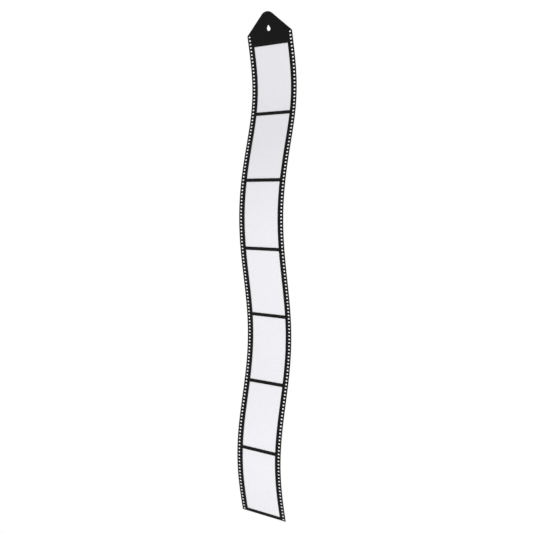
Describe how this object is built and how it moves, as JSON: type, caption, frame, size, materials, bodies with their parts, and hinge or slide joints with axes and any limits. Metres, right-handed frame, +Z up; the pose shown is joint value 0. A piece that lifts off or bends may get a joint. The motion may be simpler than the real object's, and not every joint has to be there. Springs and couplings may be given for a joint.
{
  "type": "multi-photo frame",
  "caption": "Long black film-strip photo frame that hangs by a teardrop hole in its tab, bends at the bars between its windows and takes photos from the side into flat pockets.",
  "frame": {"origin": "tip of the teardrop hang hole, in the middle of the film's thickness, where a nail bears", "axes": "+Z up along the hanging strip, +X to the viewer's right along the windows' width, -Y towards the viewer"},
  "size_m": [0.1302, 0.0439, 1.1552],
  "materials": {
    "film_black": "satin",
    "pocket_black": "matte",
    "window_clear": "clear gloss",
    "card_white": "matt"
  },
  "bodies": {
    "tab": {"film_tab": "film_black"},
    "frame_1": {"seam_web_1": "film_black", "film_frame_1": "film_black", "window_film_1": "window_clear", "pocket_back_1": "pocket_black"},
    "frame_2": {"seam_web_2": "film_black", "film_frame_2": "film_black", "window_film_2": "window_clear", "pocket_back_2": "pocket_black"},
    "frame_3": {"seam_web_3": "film_black", "film_frame_3": "film_black", "window_film_3": "window_clear", "pocket_back_3": "pocket_black"},
    "frame_4": {"seam_web_4": "film_black", "film_frame_4": "film_black", "window_film_4": "window_clear", "pocket_back_4": "pocket_black"},
    "frame_5": {"seam_web_5": "film_black", "film_frame_5": "film_black", "window_film_5": "window_clear", "pocket_back_5": "pocket_black"},
    "frame_6": {"seam_web_6": "film_black", "film_frame_6": "film_black", "window_film_6": "window_clear", "pocket_back_6": "pocket_black"},
    "frame_7": {"seam_web_7": "film_black", "film_frame_7": "film_black", "window_film_7": "window_clear", "pocket_back_7": "pocket_black"},
    "photo_1": {"photo_card_1": "card_white"},
    "photo_2": {"photo_card_2": "card_white"},
    "photo_3": {"photo_card_3": "card_white"},
    "photo_4": {"photo_card_4": "card_white"},
    "photo_5": {"photo_card_5": "card_white"},
    "photo_6": {"photo_card_6": "card_white"},
    "photo_7": {"photo_card_7": "card_white"}
  },
  "joints": [
    {"name": "flex_1", "type": "hinge", "parent": "tab", "child": "frame_1", "pos_m": [0, 0.0088, -0.03969], "axis": [1, 0, 0], "range_deg": [-35, 35], "stiffness_Nm_per_rad": 0.36, "deforming": ["seam_web_1"]},
    {"name": "flex_2", "type": "hinge", "parent": "frame_1", "child": "frame_2", "pos_m": [0, 0.01998, -0.19462], "axis": [1, 0, 0], "range_deg": [-35, 35], "stiffness_Nm_per_rad": 0.36, "deforming": ["seam_web_2"]},
    {"name": "flex_3", "type": "hinge", "parent": "frame_2", "child": "frame_3", "pos_m": [0, -0.01187, -0.34769], "axis": [1, 0, 0], "range_deg": [-35, 35], "stiffness_Nm_per_rad": 0.36, "deforming": ["seam_web_3"]},
    {"name": "flex_4", "type": "hinge", "parent": "frame_3", "child": "frame_4", "pos_m": [0, -0.01221, -0.50349], "axis": [1, 0, 0], "range_deg": [-35, 35], "stiffness_Nm_per_rad": 0.36, "deforming": ["seam_web_4"]},
    {"name": "flex_5", "type": "hinge", "parent": "frame_4", "child": "frame_5", "pos_m": [0, 0.01391, -0.65766], "axis": [1, 0, 0], "range_deg": [-35, 35], "stiffness_Nm_per_rad": 0.36, "deforming": ["seam_web_5"]},
    {"name": "flex_6", "type": "hinge", "parent": "frame_5", "child": "frame_6", "pos_m": [0, 0.00748, -0.81334], "axis": [1, 0, 0], "range_deg": [-35, 35], "stiffness_Nm_per_rad": 0.36, "deforming": ["seam_web_6"]},
    {"name": "flex_7", "type": "hinge", "parent": "frame_6", "child": "frame_7", "pos_m": [0, -0.01559, -0.96785], "axis": [1, 0, 0], "range_deg": [-35, 35], "stiffness_Nm_per_rad": 0.36, "deforming": ["seam_web_7"]},
    {"name": "photo_slide_1", "type": "slide", "parent": "frame_1", "child": "photo_1", "axis": [1, 0, 0], "range_m": [0, 0.1]},
    {"name": "photo_slide_2", "type": "slide", "parent": "frame_2", "child": "photo_2", "axis": [1, 0, 0], "range_m": [0, 0.1]},
    {"name": "photo_slide_3", "type": "slide", "parent": "frame_3", "child": "photo_3", "axis": [1, 0, 0], "range_m": [0, 0.1]},
    {"name": "photo_slide_4", "type": "slide", "parent": "frame_4", "child": "photo_4", "axis": [1, 0, 0], "range_m": [0, 0.1]},
    {"name": "photo_slide_5", "type": "slide", "parent": "frame_5", "child": "photo_5", "axis": [1, 0, 0], "range_m": [0, 0.1]},
    {"name": "photo_slide_6", "type": "slide", "parent": "frame_6", "child": "photo_6", "axis": [1, 0, 0], "range_m": [0, 0.1]},
    {"name": "photo_slide_7", "type": "slide", "parent": "frame_7", "child": "photo_7", "axis": [1, 0, 0], "range_m": [0, 0.1]}
  ]
}
